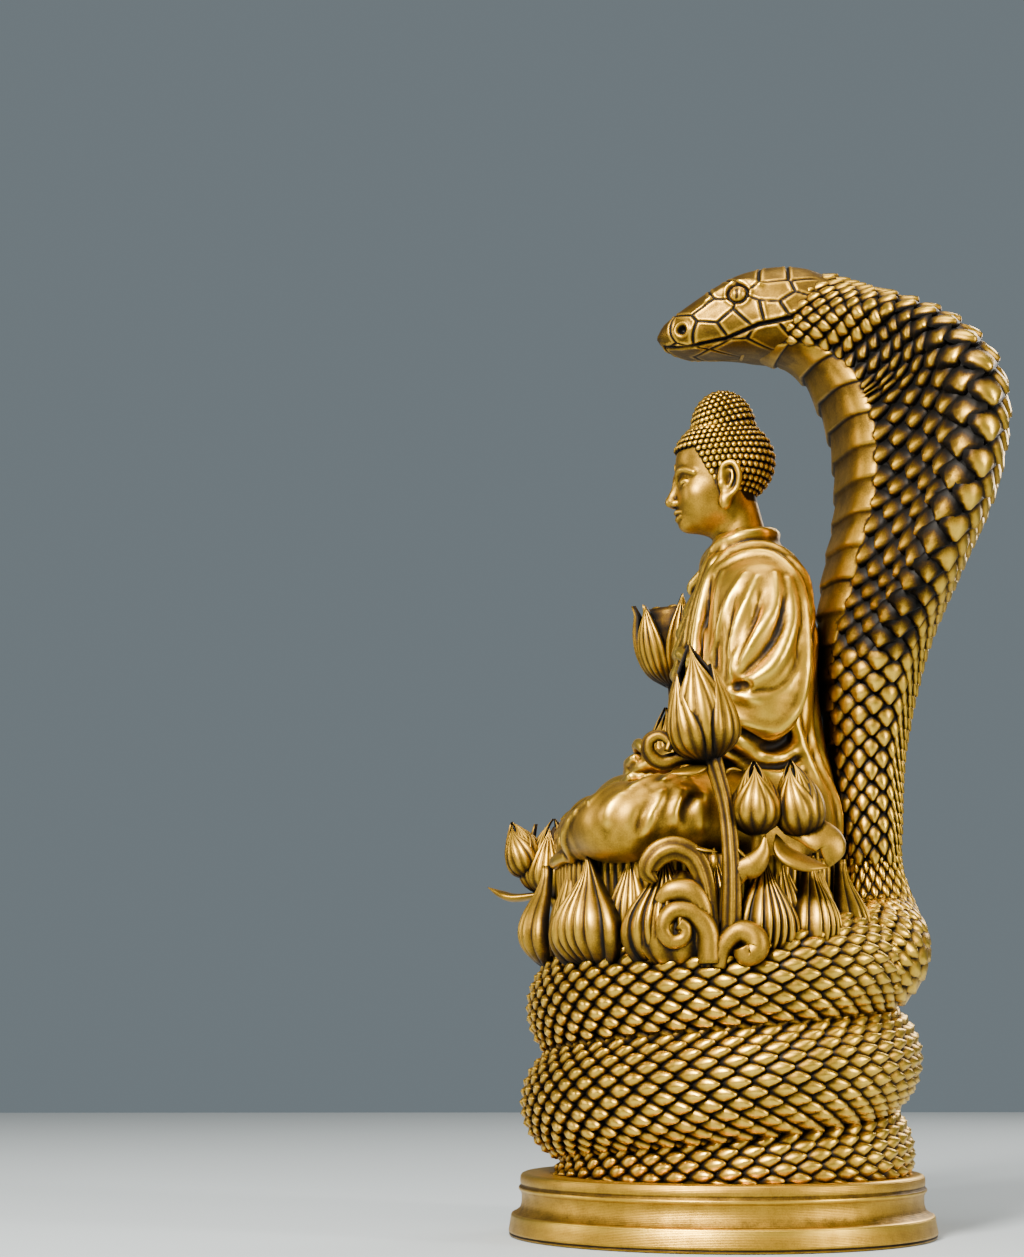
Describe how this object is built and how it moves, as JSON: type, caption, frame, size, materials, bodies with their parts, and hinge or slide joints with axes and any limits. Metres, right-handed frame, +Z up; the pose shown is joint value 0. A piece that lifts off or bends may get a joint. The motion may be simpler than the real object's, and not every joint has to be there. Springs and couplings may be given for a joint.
{
  "type": "naga buddha statuette",
  "caption": "Gold statuette of a robed figure seated in meditation on a lotus seat over a coiled cobra, whose spread hood rises behind it, on a round moulded plinth.",
  "frame": {"origin": "centre of the plinth's underside", "axes": "+Z up along the plinth's axis, -Y the way the figure faces, +X the figure's left"},
  "size_m": [0.1175, 0.1307, 0.2491],
  "materials": {
    "statue": "antique gold paint, dark in the hollows and burnished on the high places",
    "plinth": "the same gold paint, more even and a little duller"
  },
  "bodies": {
    "root": {"statue": "statue", "plinth": "plinth"}
  },
  "joints": []
}
